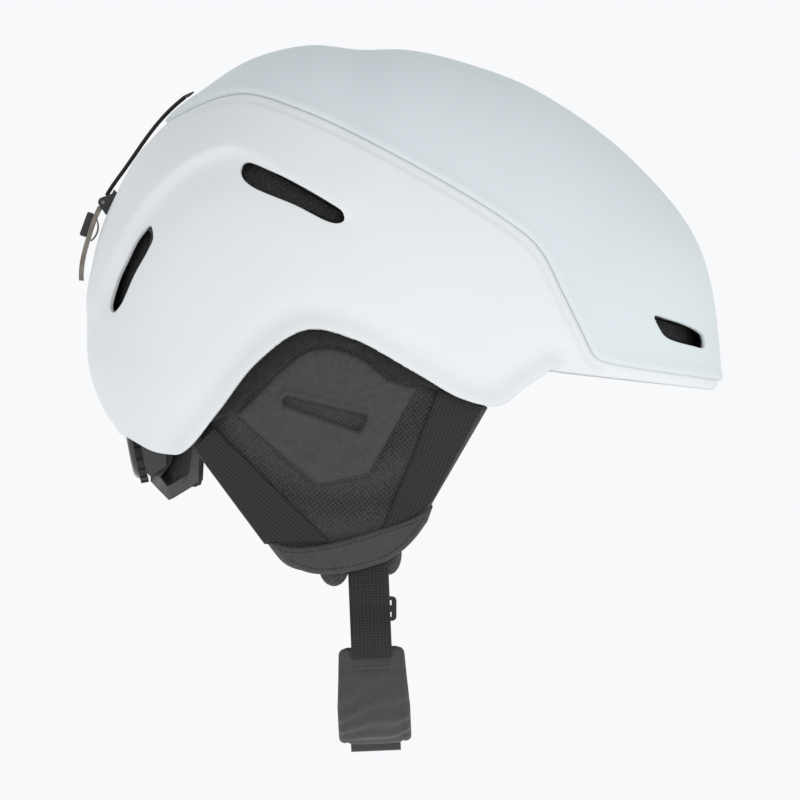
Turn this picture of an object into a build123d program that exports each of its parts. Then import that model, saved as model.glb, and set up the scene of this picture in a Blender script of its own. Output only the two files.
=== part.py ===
"""Ski helmet with soft ear pads, chin strap, goggle retainer and dial-adjusted headband.

Row frame, millimetres: +X points out of the wearer's face, +Z up, and the helmet is
symmetric about Y = 0. The origin is the middle of the head at the height of the ear canals.

The crown is described in fan planes. A fan plane holds the Y axis and leans at an angle that
is 0 at the face, 90 at the top and 180 at the nape. In each one the surface is an arch: a
superellipse as tall as the crown's radius at that angle and as wide as the helmet.
"""

import os
from math import cos, hypot, radians, sin, sqrt

from build123d import *

os.makedirs("parts", exist_ok=True)

# ---------------------------------------------------------------- driving dimensions
# Crown of the outer shell in the middle plane: (fan angle, radius from the origin)
CROWN = [(-10, 174), (5, 175), (14, 176.5), (23, 179.5), (36, 175.5), (50, 170.8), (66, 166),
         (84, 160), (100, 159.5), (116, 148.5), (132, 135), (148, 120), (164, 109.5),
         (180, 97.5), (200, 85), (222, 80)]
# Half the helmet's width at a fan angle
WIDTH = [(-10, 98), (30, 101), (90, 105), (150, 106), (222, 102)]
FULLNESS = 2.35          # superellipse power: 2 is an ellipse, more is boxier
SHELL_REACH = 84         # how far round an arch the walls go, in degrees from the crown
FIRST, LAST = -10, 200   # fan angles at which the shell walls begin and end

UPPER_PROUD = 1.0        # the upper shell stands this far proud of the lower one
SHELL_THICK = 2.2
LINER_GAP = 0.4          # play between nested layers
LINER_TOP = SHELL_THICK + LINER_GAP

# Head cavity in the foam: an ellipse in the middle plane, and its half width
CAVITY_CENTRE = (18, 18)
CAVITY_AXES = (98, 120)
CAVITY_HALF_WIDTH = 84
FOAM_LEAST = 9           # the foam is nowhere thinner than this
SLIP_THICK = 0.8
PAD_THICK = 6.0

FAR = 260                # cutters reach this far, well past the helmet
HALF = FAR / 2

# Lower edge of the shell in side view (x, z), from the nape past the ear to the brim
NAPE_EDGE = [(-130, 9), (-104, -2), (-86, -11.5), (-71, -18.5), (-60, -16.5)]
EAR_EDGE = [(-60, -16.5), (-46, -0.2), (-28.6, 21.8), (-8, 35.6), (12, 32), (40, 17),
            (60, 5.8), (76, 3), (87, 11), (98, 18.2)]
BRIM_EDGE = [(98, 18.2), (190, 8)]
# Seam between the upper and the lower shell in side view
SEAM = [(-100, 106), (-68, 129), (-38, 139.2), (-11, 131.8), (33, 110.4), (77, 84.5),
        (93, 71.5), (104, 51), (117, 24.5)]
BRIM_SEAM = [(117, 24.5), (121, 22), (190, 11.5)]

# Ear pads: outer and inner face in front view (distance from the middle, z)
EAR_OUTER = [(98.5, 42), (95.5, 0), (81, -72)]
EAR_INNER = [(83, 42), (78.5, 0), (63, -72)]
EAR_BARREL = 270         # radius of the same faces seen from above
EAR_MIDDLE_X = 8         # where they stand furthest out
FOLD_Z = 0               # the flap folds out about a line along X at this height
FOLD_GAP = 0.5
COVER = 1.2              # thickness of covers, webbing and bands

# Chin strap: webbing hanging from the ear pads and meeting under the chin
WEB_WIDE = 17.5
WEB_THICK = 1.6
SWING_X, SWING_Z = 18.6, -58
STRAP_LEAN = 2.4         # degrees forward of straight down
STRAP_Y = 77.2
STRAP_DROP = 83.5        # from the swing line to the bottom of the loop
STRAP_BEND = 46
CHIN_WIDE = 30
CHIN_THICK = 8.6
CHIN_TOP = -101
BUCKLE_Y = 22            # the buckle parts meet in this plane

# Headband and dial
BAND_Y = 74.5
BAND_THICK = 1.6
BAND_LOW, BAND_HIGH = 16, 28
PIVOT_X = 34
RUN = 0.05               # radial play of a pin in its hole
PLAY = 0.35              # play between sliding parts
SLEEVE_WALL = 1.2
TRAVEL = 10              # the cradle moves this far forward to tighten
DIAL_X, DIAL_Z = -76.3, -15
DIAL_R = 15
DIAL_TILT = 11           # the dial leans forward at its foot, in degrees

# Goggle retainer
HINGE_X, HINGE_Z = -97.9, 92.5
CLIP_HALF = 7
CORD_R = 0.9


def finish(part, name):
    """Labels one finished sub-part and writes its STEP file."""
    part.label = name
    export_step(part, f"parts/{name}.step")


def between(table, angle):
    """Value of a table at an angle, on a smooth curve through its points."""
    keys = [a for a, _ in table]
    values = [v for _, v in table]
    last = len(table) - 1
    i = max(k for k in range(last) if keys[k] <= angle or k == 0)

    def slope(k):
        lo, hi = max(k - 1, 0), min(k + 1, last)
        return (values[hi] - values[lo]) / (keys[hi] - keys[lo])

    span = keys[i + 1] - keys[i]
    s = (angle - keys[i]) / span
    rise = 3 * s**2 - 2 * s**3
    return (
        values[i] + (values[i + 1] - values[i]) * rise
        + slope(i) * span * (s**3 - 2 * s**2 + s)
        + slope(i + 1) * span * (s**3 - s**2)
    )


def outside(inset):
    """Radius and half width of the outer surface, moved inwards by an inset."""
    return lambda angle: (between(CROWN, angle) - inset, between(WIDTH, angle) - inset)


def cavity(inset):
    """Radius and half width of the head cavity, moved inwards by an inset."""
    (cx, cz), (ax, az) = CAVITY_CENTRE, CAVITY_AXES

    def at(angle):
        c, s = cos(radians(angle)), sin(radians(angle))
        a = (c / ax) ** 2 + (s / az) ** 2
        b = -2 * (c * cx / ax**2 + s * cz / az**2)
        d = (cx / ax) ** 2 + (cz / az) ** 2 - 1
        radius = (-b + sqrt(b * b - 4 * a * d)) / (2 * a)
        radius = min(radius, between(CROWN, angle) - LINER_TOP - FOAM_LEAST)
        return radius - inset, CAVITY_HALF_WIDTH - inset

    return at


def arch(size, start, end, count=11):
    """Points of an arch of (radius, half width) between two arc angles, in its fan plane."""
    radius, half_width = size
    power = 2 / FULLNESS
    points = []
    for k in range(count):
        t = radians(start + (end - start) * k / (count - 1))
        side = 1 if t > 0 else -1
        points.append((side * half_width * abs(sin(t)) ** power, radius * cos(t) ** power))
    return points


def fan_plane(angle):
    """Local x is +Y of the helmet and local y points out at the fan angle."""
    a = radians(angle)
    return Plane(origin=(0, 0, 0), x_dir=(0, 1, 0), z_dir=(sin(a), 0, -cos(a)))


def wall(outer, inner, first, last, start=-SHELL_REACH, end=SHELL_REACH, steps=19):
    """A curved wall between two arch surfaces, lofted through fan planes."""
    with BuildPart() as body:
        for k in range(steps):
            angle = first + (last - first) * k / (steps - 1)
            with BuildSketch(fan_plane(angle)):
                with BuildLine():
                    far = Spline(*arch(outer(angle), start, end))
                    near = Spline(*arch(inner(angle), start, end))
                    Line(far @ 0, near @ 0)
                    Line(far @ 1, near @ 1)
                make_face()
        loft()
    return body.part


def lower_region(lift):
    """Everything below the helmet's lower edge, moved up by a lift."""
    with BuildPart() as region:
        with BuildSketch(Plane.XZ):
            with BuildLine():
                up = [[(x, z + lift) for x, z in edge] for edge in (NAPE_EDGE, EAR_EDGE, BRIM_EDGE)]
                nape = Spline(*up[0])
                ear = Spline(*up[1], tangents=[nape % 1, Vector(1, -0.11)])
                brim = Line(up[2][0], up[2][1])
                Polyline(brim @ 1, (190, -FAR), (-130, -FAR), nape @ 0)
            make_face()
        extrude(amount=HALF, both=True)
    return region.part


def upper_region(gap):
    """Everything above the seam, with its border moved up by half a gap."""
    with BuildPart() as region:
        with BuildSketch(Plane.XZ):
            with BuildLine():
                seam = Spline(*[(x, z + gap) for x, z in SEAM])
                corner, bend, tip = [(x, z + gap) for x, z in BRIM_SEAM]
                Polyline(corner, bend, tip, (190, FAR), (-100, FAR), seam @ 0)
            make_face()
        extrude(amount=HALF, both=True)
    return region.part


def hull_of(circles, plane=Plane.XZ, depth=HALF, both=True):
    """A cutter whose outline is stretched round circles (x, z, radius)."""
    with BuildPart() as cutter:
        with BuildSketch(plane):
            for x, z, radius in circles:
                with Locations((x, z)):
                    Circle(radius)
            if len(circles) > 1:
                make_hull()
        extrude(amount=depth, both=both)
    return cutter.part


def ribbon(points, thick):
    """Draws the outline of a curved strip of even thickness along a row of points."""
    sides = [[], []]
    last = len(points) - 1
    for k, (u, v) in enumerate(points):
        (u0, v0), (u1, v1) = points[max(k - 1, 0)], points[min(k + 1, last)]
        length = hypot(u1 - u0, v1 - v0)
        across = Vector(v0 - v1, u1 - u0) * (thick / 2 / length)
        sides[0].append(Vector(u, v) + across)
        sides[1].append(Vector(u, v) - across)
    one, other = Spline(*sides[0]), Spline(*sides[1])
    Line(one @ 0, other @ 0)
    Line(one @ 1, other @ 1)


# ---------------------------------------------------------------- outer shells
SIDE_VENT = [(-31, 103.6, 4.9), (5.6, 85, 2.5)]
REAR_VENT = [(-78.6, 77, 2.4), (-84.6, 62, 3.6), (-91.6, 46.4, 1.9)]
FRONT_VENT = [(146, 39.4, 1), (160, 35.6, 1), (165.4, 32.4, 1), (165.6, 29.2, 1),
              (158, 31.4, 1), (150, 33.8, 1)]
TOP_VENTS = [(46, 34, 54), (75.6, 32, 24)]  # fan angle, distance from the middle, length
TOP_VENT_WIDE = 5
NOTCH_HALF = 21                            # notch at the nape that clears the dial
NOTCH_TOP = -3

below_edge = lower_region(0)
above_seam = upper_region(0.3)
lower_wall = wall(outside(0), outside(SHELL_THICK), FIRST, LAST)
upper_wall = wall(outside(-UPPER_PROUD), outside(SHELL_THICK - 0.2), FIRST, 150)


def top_vent_cutters(wide, depth):
    """Slots through the crown beside the middle plane, in pairs."""
    cutters = []
    for angle, away, length in TOP_VENTS:
        a = radians(angle)
        radius = between(CROWN, angle)
        plane = Plane(origin=(radius * cos(a), 0, radius * sin(a)), x_dir=(sin(a), 0, -cos(a)),
                      z_dir=(cos(a), 0, sin(a)))
        with BuildPart() as cutter:
            with BuildSketch(plane.offset(-depth)):
                with Locations((0, away), (0, -away)):
                    SlotOverall(length, wide)
            extrude(amount=depth + 30)
        cutters.append(cutter.part)
    return cutters


with BuildPart() as nape_notch:
    with BuildSketch(Plane.XY.offset(-60)):
        with Locations((-80, 0)):
            RectangleRounded(60, 2 * NOTCH_HALF, 6)
    extrude(amount=60 + NOTCH_TOP)

side_slot, rear_slot, brim_slot = hull_of(SIDE_VENT), hull_of(REAR_VENT), hull_of(FRONT_VENT)
crown_slots = top_vent_cutters(TOP_VENT_WIDE, 20)
below_seam = upper_region(-0.3)

with BuildPart() as upper_shell:
    add(upper_wall)
    add(above_seam, mode=Mode.INTERSECT)
    add([brim_slot] + crown_slots, mode=Mode.SUBTRACT)
finish(upper_shell.part, "upper_shell")

with BuildPart() as lower_shell:
    add(lower_wall)
    add([below_edge, below_seam, side_slot, rear_slot, nape_notch.part], mode=Mode.SUBTRACT)
finish(lower_shell.part, "lower_shell")

# ---------------------------------------------------------------- foam and slip liner
VENT_CLEAR = 0.5
foam_wall = wall(outside(LINER_TOP), cavity(0), FIRST, LAST)
liner_floor = lower_region(1.5)


def channel(circles):
    """An air channel under a vent, a little larger than the vent."""
    return hull_of([(x, z, r + VENT_CLEAR) for x, z, r in circles])


channels = [channel(SIDE_VENT), channel(REAR_VENT), channel(FRONT_VENT)]
channels += top_vent_cutters(TOP_VENT_WIDE + 2 * VENT_CLEAR, 40)

with BuildPart() as foam_liner:
    add(foam_wall)
    add([liner_floor, nape_notch.part] + channels, mode=Mode.SUBTRACT)
    # room for the headband arms and for the dial housing at the nape
    with Locations((-11, 0, 2)):
        Box(110, 158, 64, mode=Mode.SUBTRACT)
    with Locations((-85, 0, -18)):
        Box(60, 128, 52, mode=Mode.SUBTRACT)
finish(foam_liner.part, "foam_liner")

slip_wall = wall(cavity(LINER_GAP), cavity(LINER_GAP + SLIP_THICK), 12, 160, -48, 48)
slip_slots = top_vent_cutters(TOP_VENT_WIDE, 60)
with BuildPart() as slip_liner:
    add(slip_wall)
    add(slip_slots, mode=Mode.SUBTRACT)
finish(slip_liner.part, "slip_liner")

# ---------------------------------------------------------------- comfort pads
pad_out = LINER_GAP + SLIP_THICK + LINER_GAP
pad_in = pad_out + PAD_THICK
finish(wall(cavity(pad_out), cavity(pad_in), 14, 30, -50, 50, 5), "brow_pad")
finish(wall(cavity(pad_out), cavity(pad_in), 66, 118, -24, 24, 6), "crown_pad")
finish(wall(cavity(pad_out), cavity(pad_in), 56, 124, -60, -38, 6), "right_side_pad")
finish(wall(cavity(pad_out), cavity(pad_in), 56, 124, 38, 60, 6), "left_side_pad")



def both_sides(part, name):
    """Finishes a right-hand piece and its mirror image."""
    finish(part, "right_" + name)
    with BuildPart() as other:
        add(mirror(part, about=Plane.XZ))
    finish(other.part, "left_" + name)


# ---------------------------------------------------------------- screens behind the vents
SCREEN_DEPTH = 7
screen_wall = wall(outside(SCREEN_DEPTH), outside(SCREEN_DEPTH + 1.5), FIRST, LAST)
with BuildPart() as right_half:
    with Locations((0, -HALF - 0.5, 0)):
        Box(2 * FAR, FAR, 2 * FAR)


def screen(cutter):
    """The right-hand piece of the screen layer inside one vent."""
    with BuildPart() as piece:
        add(screen_wall)
        add(cutter, mode=Mode.INTERSECT)
        add(right_half.part, mode=Mode.INTERSECT)
    return piece.part


both_sides(screen(side_slot), "side_screen")
both_sides(screen(rear_slot), "rear_screen")
both_sides(screen(brim_slot), "brim_screen")
both_sides(screen(crown_slots[0]), "front_crown_screen")
both_sides(screen(crown_slots[1]), "crown_screen")

# ---------------------------------------------------------------- ear pads


def ear_layer(outline, outer, inner, low=-FAR, high=FAR):
    """A curved layer of the right ear pad: a side-view outline cut from a barrel.

    The layer lies between two offsets from the pad's outer face (positive is outwards);
    with no inner offset it reaches to the pad's inner face.
    """
    with BuildPart() as layer:
        with BuildSketch(Plane.YZ.offset(EAR_MIDDLE_X)):
            with BuildLine():
                far = ThreePointArc(*[(-y - outer, z) for y, z in EAR_OUTER])
                if inner is None:
                    near = ThreePointArc(*[(-y, z) for y, z in EAR_INNER])
                else:
                    near = ThreePointArc(*[(-y - inner, z) for y, z in EAR_OUTER])
                Line(far @ 0, near @ 0)
                Line(far @ 1, near @ 1)
            make_face()
        hub = EAR_BARREL - EAR_OUTER[0][0]
        revolve(axis=Axis((EAR_MIDDLE_X, hub, 0), (0, 0, 1)), revolution_arc=44)
    turned = layer.part.rotate(Axis((EAR_MIDDLE_X, hub, 0), (0, 0, 1)), -22)
    with BuildPart() as cut:
        add(turned)
        with BuildSketch(Plane.XZ):
            with BuildLine():
                outline()
            make_face()
        extrude(amount=HALF, both=True, mode=Mode.INTERSECT)
        with Locations((0, 0, (low + high) / 2)):
            Box(2 * FAR, 2 * FAR, high - low, mode=Mode.INTERSECT)
    return cut.part


def pad_outline():
    top = Spline((-55, -13), (-46, -2.6), (-28.6, 19.6), (-8, 33.6), (12, 30), (40, 15.4),
                 (60, 4.4), (71.3, 2))
    front = Line(top @ 1, (48.4, -37.4))
    chin = Spline(front @ 1, (41.4, -50), (29, -64.2), (4.4, -69.5), (-15.4, -67.3), (-26, -55.9))
    Line(chin @ 1, top @ 0)


def panel_outline():
    Polyline((-38.3, -0.9), (-20.2, 17.2), (-7.9, 26.8), (3.1, 28.2), (16.7, 23.3), (29, 14.1),
             (40.9, 11), (19.4, -26.8), (-3.1, -31.2), close=True)


def binding_outline():
    outer = Spline((-46.2, -2.6), (-28.6, 19.4), (-8, 33.2), (12, 29.6), (40, 15), (53, 8.4))
    inner = Spline((-39.5, 0.6), (-21, 18.3), (-8, 28.2), (4, 29.6), (18, 24.4), (30, 15.4),
                   (44, 12))
    Line(outer @ 0, inner @ 0)
    Line(outer @ 1, inner @ 1)


def rear_web_outline():
    Polyline((-47.1, -7.9), (-26, -55.9), (2.6, -55.5), (-45, -4.2), close=True)


def front_web_outline():
    Polyline((49.7, 9.7), (70, 2.6), (48.4, -37.4), (24.6, -51), (22, -46), close=True)


def low_band_outline():
    top = Spline((-26, -55.9), (-14, -58.6), (1.8, -57.2), (22.9, -51.5), (41.4, -44.9))
    low = Spline((-15.4, -67.3), (-7.9, -69.2), (4.4, -69.4), (16.7, -67.8), (29, -64.2),
                 (39.2, -57.2))
    Line(top @ 0, low @ 0)
    Line(top @ 1, low @ 1)


# the chin strap's end lies in a pocket in the pad
with BuildPart() as strap_pocket:
    with Locations((SWING_X, -STRAP_Y, SWING_Z - 11)):
        Box(34, WEB_THICK + 2 * PLAY + 0.2, 43)

low_top, high_low = FOLD_Z - FOLD_GAP, FOLD_Z + FOLD_GAP
both_sides(ear_layer(pad_outline, 0, None, low=high_low), "ear_pad_top")
flap_body = ear_layer(pad_outline, 0, None, high=low_top)
with BuildPart() as ear_flap:
    add(flap_body)
    add(strap_pocket.part, mode=Mode.SUBTRACT)
both_sides(ear_flap.part, "ear_flap")
both_sides(ear_layer(panel_outline, COVER, 0.02, low=high_low), "ear_panel_top")
both_sides(ear_layer(panel_outline, COVER, 0.02, high=low_top), "ear_panel")
both_sides(ear_layer(binding_outline, COVER, 0.02, low=high_low), "ear_binding")
both_sides(ear_layer(rear_web_outline, COVER, 0.02, high=low_top), "rear_web")
both_sides(ear_layer(front_web_outline, COVER, 0.02, high=low_top), "front_web")
both_sides(ear_layer(low_band_outline, 2 * COVER, COVER + 0.02), "ear_band")

# ---------------------------------------------------------------- chin strap
lean = radians(STRAP_LEAN)
strap_plane = Plane(origin=(SWING_X, 0, SWING_Z), x_dir=(0, 1, 0),
                    z_dir=(cos(lean), 0, sin(lean)))


def strap_run(side, outer, inner, end, low, high):
    """A band along the loop's path, between two offsets from its middle line.

    It runs from low below the swing line (negative is above) down and round to y = end.
    """
    def path(offset):
        bend = STRAP_BEND + offset
        centre = Vector(side * (STRAP_Y - STRAP_BEND), -STRAP_DROP + STRAP_BEND)
        begin = centre + Vector(side * bend, 0)
        turn = centre + Vector(0, -bend)
        middle = centre + Vector(side * bend * sin(radians(45)), -bend * sin(radians(45)))
        return begin, middle, turn, Vector(end, turn.Y), Vector(begin.X, -low)

    a, b = path(outer), path(inner)
    with BuildPart() as run:
        with BuildSketch(strap_plane):
            with BuildLine():
                for begin, middle, turn, stop, top in (a, b):
                    Line(top, begin)
                    ThreePointArc(begin, middle, turn)
                    Line(turn, stop)
                Line(a[4], b[4])
                Line(a[3], b[3])
            make_face()
        extrude(amount=high, both=True)
    return run.part


def webbing(side, end):
    """Chin strap webbing of one side with its rounded upper end."""
    half = WEB_THICK / 2
    hanging = strap_run(side, half, -half, end, 0, WEB_WIDE / 2)
    with BuildPart() as web:
        add(hanging)
        with BuildSketch(Plane.XZ.offset(-side * STRAP_Y - half)):
            with Locations((SWING_X, SWING_Z)):
                Circle(WEB_WIDE / 2)
        extrude(amount=WEB_THICK)
    return web.part


WEB_STOP = 8
finish(webbing(-1, WEB_STOP), "right_strap_web")
finish(webbing(1, 27.5), "left_strap_web")

half_pad, half_slot = CHIN_THICK / 2, WEB_THICK / 2 + 0.1
pad_body = strap_run(-1, half_pad, -half_pad, 4, 30, CHIN_WIDE / 2)
pad_slot = strap_run(-1, half_slot, -half_slot, 6, 28, WEB_WIDE / 2 + 0.1)
with BuildPart() as chin_pad:
    add(pad_body)
    add(pad_slot, mode=Mode.SUBTRACT)
    with Locations((0, 0, CHIN_TOP)):
        Box(2 * FAR, 2 * FAR, FAR, align=(Align.CENTER, Align.CENTER, Align.MAX),
            mode=Mode.INTERSECT)
finish(chin_pad.part, "chin_pad")


def strap_block(name, centre_y, wide_y, top, low, long_x, hole=None):
    """A rounded block on the strap's bottom run; the hole lets the webbing through."""
    with BuildPart() as block:
        with BuildSketch(strap_plane):
            with Locations((centre_y, -STRAP_DROP + (top + low) / 2)):
                RectangleRounded(wide_y, top - low, 1.2)
            if hole:
                with Locations((hole, -STRAP_DROP)):
                    Rectangle(wide_y, WEB_THICK + 0.1, mode=Mode.SUBTRACT)
        extrude(amount=long_x / 2, both=True)
    finish(block.part, name)


strap_block("buckle_female", BUCKLE_Y - 7.15, 14, 3, -8.5, 22, hole=BUCKLE_Y - 12)
strap_block("buckle_male", BUCKLE_Y + 5.15, 10, 3, -8.5, 22, hole=BUCKLE_Y + 10)

with BuildPart() as strap_adjuster:
    with BuildSketch(Plane.XZ.offset(-STRAP_Y - 2.6)):
        with Locations((SWING_X + 2.6, SWING_Z - 30)):
            RectangleRounded(WEB_WIDE + 3, 11, 2)
            with Locations((0, 2.6), (0, -2.6)):
                Rectangle(WEB_WIDE - 1.5, 2.2, mode=Mode.SUBTRACT)
    extrude(amount=1.6)
finish(strap_adjuster.part, "strap_adjuster")

# ---------------------------------------------------------------- headband, cradle and dial
SLEEVE_FRONT, SLEEVE_BACK = -12, -48
band_mid = (BAND_LOW + BAND_HIGH) / 2
# middle of the band's round tail, clear of the sleeve's back wall over the whole travel
BAND_TAIL = SLEEVE_BACK + SLEEVE_WALL + TRAVEL + (BAND_HIGH - BAND_LOW) / 2 + 0.8
with BuildPart() as right_band:
    with BuildSketch(Plane.XZ.offset(BAND_Y - BAND_THICK / 2)):
        with Locations(((PIVOT_X + BAND_TAIL) / 2, band_mid)):
            SlotOverall(PIVOT_X - BAND_TAIL + BAND_HIGH - BAND_LOW, BAND_HIGH - BAND_LOW)
        with Locations((PIVOT_X, band_mid)):
            Circle(3 + RUN, mode=Mode.SUBTRACT)
    extrude(amount=BAND_THICK)
both_sides(right_band.part, "band")

# pin: a head inside the band, a shank through it and a flange against the foam
pin_face = BAND_Y - BAND_THICK / 2 - PLAY
with BuildPart() as temple_pin:
    with BuildSketch(Plane.XZ.offset(pin_face - 1.6)):
        with Locations((PIVOT_X, band_mid)):
            Circle(5.5)
    extrude(amount=1.6)
    with BuildSketch(Plane.XZ.offset(pin_face - 1)):
        with Locations((PIVOT_X, band_mid)):
            Circle(3)
    extrude(amount=BAND_THICK + 2 * PLAY + 1.5)
    with BuildSketch(Plane.XZ.offset(BAND_Y + BAND_THICK / 2 + PLAY)):
        with Locations((PIVOT_X, band_mid)):
            Circle(7)
    extrude(amount=1.4)
both_sides(temple_pin.part, "temple_pin")

ARM_THICK = 2.4
CRADLE_RIGHT = [(SLEEVE_BACK + 2, -BAND_Y), (SLEEVE_BACK - 3, -69.5), (-58, -56), (-68.5, -36),
                (-74.2, -18)]
CRADLE_LINE = CRADLE_RIGHT + [(-76, 0)] + [(x, -y) for x, y in reversed(CRADLE_RIGHT)]
sleeve_out = BAND_THICK / 2 + PLAY + SLEEVE_WALL
sleeve_high = BAND_HIGH + PLAY + SLEEVE_WALL
sleeve_low = BAND_LOW - PLAY - SLEEVE_WALL


def cradle_side():
    """Side view of the cradle: arms at the band's height drop to the nape."""
    Polyline((SLEEVE_BACK, sleeve_high), (SLEEVE_BACK, sleeve_low), (-52, 0), (-54, -12),
             (-55, -30.5), (-68.3, -38.7), (-77, -30.5), (-77, -10), (-72, -8), (-64, 0),
             (-56, 22), (-52, sleeve_high), close=True)


with BuildPart() as nape_cradle:
    with BuildSketch(Plane.XY.offset(-45)):
        with BuildLine():
            ribbon(CRADLE_LINE, ARM_THICK)
        make_face()
    extrude(amount=80)
    with BuildSketch(Plane.XZ):
        with BuildLine():
            cradle_side()
        make_face()
    extrude(amount=HALF, both=True, mode=Mode.INTERSECT)
    # windows in the wings, which leave a V-shaped frame
    with BuildSketch(Plane.XZ):
        with BuildLine():
            Polyline((-72.2, -28.3), (-69, -32.6), (-59.4, -27), (-58, -18.8), (-58.4, -9),
                     (-64, -7), (-67.5, -22.5), close=True)
        make_face()
    extrude(amount=HALF, both=True, mode=Mode.SUBTRACT)
    for side in (-1, 1):
        with Locations(((SLEEVE_FRONT + SLEEVE_BACK) / 2, side * BAND_Y, band_mid)):
            Box(SLEEVE_FRONT - SLEEVE_BACK, 2 * sleeve_out, sleeve_high - sleeve_low)
        with Locations(((SLEEVE_FRONT + SLEEVE_BACK) / 2 + SLEEVE_WALL, side * BAND_Y, band_mid)):
            Box(SLEEVE_FRONT - SLEEVE_BACK, BAND_THICK + 2 * PLAY,
                BAND_HIGH - BAND_LOW + 2 * PLAY, mode=Mode.SUBTRACT)
finish(nape_cradle.part, "nape_cradle")

with BuildPart() as nape_pad:
    with BuildSketch(Plane.XY.offset(-35)):
        with BuildLine():
            back = ThreePointArc((-64.4, -36), (-73.4, 0), (-64.4, 36))
            front = ThreePointArc((-60.6, -35), (-68.8, 0), (-60.6, 35))
            Line(back @ 0, front @ 0)
            Line(back @ 1, front @ 1)
        make_face()
    extrude(amount=21)
finish(nape_pad.part, "nape_pad")

tilt = radians(DIAL_TILT)
dial_plane = Plane(origin=(DIAL_X, 0, DIAL_Z), x_dir=(0, 1, 0), z_dir=(-cos(tilt), 0, -sin(tilt)))
HOUSING_DEEP, KNOB_DEEP = 4.2, 6
# housing: a block as wide as the wings' back, cut to lie on the cradle
housing_back = [dial_plane.from_local_coords(Vector(0, v, HOUSING_DEEP)) for v in (-13.5, 11)]
with BuildPart() as dial_housing:
    with BuildSketch(Plane.XZ):
        with BuildLine():
            Polyline((housing_back[0].X, housing_back[0].Z), (housing_back[1].X, housing_back[1].Z),
                     (-76.4, -28.3), (-67.6, -22.7), (-66.5, -12), (-70, -4), close=True)
        make_face()
    extrude(amount=37, both=True)
    with BuildSketch(Plane.XY.offset(-45)):
        with BuildLine():
            ribbon(CRADLE_LINE, ARM_THICK + 0.1)
        make_face()
    extrude(amount=80, mode=Mode.SUBTRACT)
    with BuildSketch(dial_plane.offset(HOUSING_DEEP)):
        Circle(4)
    extrude(amount=4)
# only the piece behind the cradle stays
finish(dial_housing.solids().sort_by(Axis.X)[0], "dial_housing")

with BuildPart() as dial_knob:
    with BuildSketch(dial_plane.offset(HOUSING_DEEP + PLAY)):
        Circle(DIAL_R - 1.6)
    extrude(amount=KNOB_DEEP)
    fillet(dial_knob.edges().group_by(Axis.X)[0], 3.6)
    with BuildSketch(dial_plane.offset(HOUSING_DEEP + PLAY)):
        Circle(4 + RUN)
    extrude(amount=4, mode=Mode.SUBTRACT)
finish(dial_knob.part, "dial_knob")

GRIPS = 18
with BuildPart() as dial_grip:
    with BuildSketch(dial_plane.offset(HOUSING_DEEP + PLAY)):
        Circle(DIAL_R - 0.4)
        with PolarLocations(DIAL_R - 0.2, GRIPS):
            Circle(0.7)
        Circle(DIAL_R - 1.55, mode=Mode.SUBTRACT)
    extrude(amount=3.4)
finish(dial_grip.part, "dial_grip")

# ---------------------------------------------------------------- goggle retainer
EYE_R, PIN_R, KNOT_HALF = 1.9, 0.8, 1.9
LUG_INNER, LUG_OUTER = CLIP_HALF + 0.4, CLIP_HALF + 2.4


def above_crown(angle, height):
    """Point (x, z) in the middle plane, a height above the lower shell's crown line."""
    r = between(CROWN, angle) + height
    return r * cos(radians(angle)), r * sin(radians(angle))


def bar(circles, near, far):
    """A bar with a stretched outline between two distances to the right of the middle."""
    return hull_of(circles, Plane.XZ.offset(near), far - near, False)


# keeper: a foot on the back of the lower shell with two lugs for the pin
foot = wall(outside(-1.8), outside(-0.02), 133.5, 138, -3.3, 3.3, 4)
lug_circles = [(HINGE_X, HINGE_Z, 2.2), (*above_crown(134.5, 1), 1), (*above_crown(137.5, 1), 1)]
lugs = [bar(lug_circles, LUG_INNER, LUG_OUTER), bar(lug_circles, -LUG_OUTER, -LUG_INNER)]
lug_bore = bar([(HINGE_X, HINGE_Z, PIN_R + 0.02)], -FAR / 4, FAR / 4)
with BuildPart() as keeper:
    add([foot] + lugs)
    add([lower_wall, lug_bore], mode=Mode.SUBTRACT)
finish(keeper.part, "keeper")
finish(bar([(HINGE_X, HINGE_Z, PIN_R)], -LUG_OUTER, LUG_OUTER), "hinge_pin")

# elastic cord: out of a grommet, along the shell, to a knot round the pin
with BuildPart() as retainer_cord:
    with BuildLine(Plane.XZ):
        route = Spline(above_crown(114, 2.1), above_crown(116.5, 2.3), above_crown(120, 2.1),
                       above_crown(126, 1.5), above_crown(130, 2), above_crown(132.8, 3),
                       above_crown(135.3, 3.9))
    with BuildSketch(Plane(origin=route @ 0, z_dir=route % 0)):
        Circle(CORD_R)
    sweep()
finish(retainer_cord.part, "retainer_cord")

knot = bar([(HINGE_X, HINGE_Z, EYE_R)], -KNOT_HALF, KNOT_HALF)
with BuildPart() as cord_knot:
    add(knot)
    add(lug_bore, mode=Mode.SUBTRACT)
finish(cord_knot.part, "cord_knot")

with BuildPart() as cord_anchor:
    seat = Vector(above_crown(113.2, 0.9)[0], 0, above_crown(113.2, 0.9)[1])
    with BuildSketch(Plane(origin=seat, z_dir=seat.normalized())):
        Circle(2.4)
    extrude(amount=1.4)
    add(retainer_cord.part, mode=Mode.SUBTRACT)
    add(upper_wall, mode=Mode.SUBTRACT)
finish(cord_anchor.part, "cord_anchor")

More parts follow.
